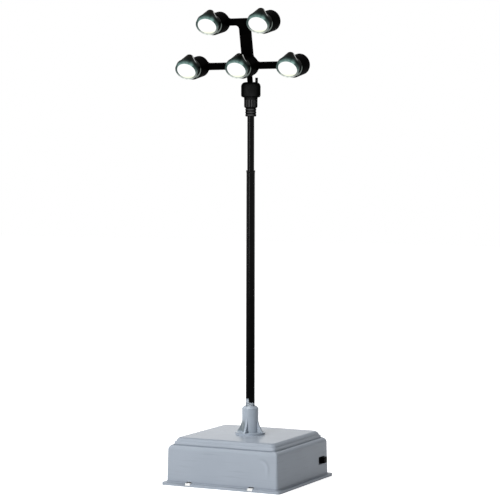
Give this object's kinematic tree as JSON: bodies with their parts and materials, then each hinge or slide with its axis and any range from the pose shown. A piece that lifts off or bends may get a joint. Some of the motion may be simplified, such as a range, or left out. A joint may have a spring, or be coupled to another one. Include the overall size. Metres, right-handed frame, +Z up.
{
  "type": "tabletop model of a stadium floodlight tower",
  "caption": "battery-lit model floodlight tower: grey battery box with slide switch, black mast, collar and leaning frame of lamps in two rows",
  "frame": {"origin": "middle of the battery box's underside, on the surface it stands on", "axes": "+Z up along the mast, lamps facing -Y, switch on the +X side"},
  "size_m": [0.0798, 0.077, 0.2795],
  "materials": {
    "grey_box": "satin",
    "white_plate": "satin",
    "switch_black": "matte",
    "black_pole": "satin",
    "black_collar": "satin",
    "black_frame": "satin",
    "shade_gloss": "gloss",
    "lit_lens": "gloss"
  },
  "bodies": {
    "tower": {"battery_box_housing": "grey_box", "base_plate": "white_plate", "battery_door": "white_plate", "switch_body": "switch_black", "pole_socket": "grey_box", "lower_pole": "black_pole", "upper_pole": "black_pole", "pole_ferrule": "black_collar", "fluted_nut": "black_collar", "collar_cup": "black_collar", "head_frame": "black_frame", "lamp_barrel_1": "black_frame", "lamp_shade_1": "shade_gloss", "lamp_bezel_1": "shade_gloss", "lamp_lens_1": "lit_lens", "lamp_barrel_2": "black_frame", "lamp_shade_2": "shade_gloss", "lamp_bezel_2": "shade_gloss", "lamp_lens_2": "lit_lens", "lamp_barrel_3": "black_frame", "lamp_shade_3": "shade_gloss", "lamp_bezel_3": "shade_gloss", "lamp_lens_3": "lit_lens", "lamp_barrel_4": "black_frame", "lamp_shade_4": "shade_gloss", "lamp_bezel_4": "shade_gloss", "lamp_lens_4": "lit_lens", "lamp_barrel_5": "black_frame", "lamp_shade_5": "shade_gloss", "lamp_bezel_5": "shade_gloss", "lamp_lens_5": "lit_lens"},
    "switch_slider": {"switch_knob": "switch_black"}
  },
  "joints": [
    {"name": "switch_slide", "type": "slide", "parent": "tower", "child": "switch_slider", "axis": [0, -1, 0], "range_m": [0, 0.004]}
  ]
}
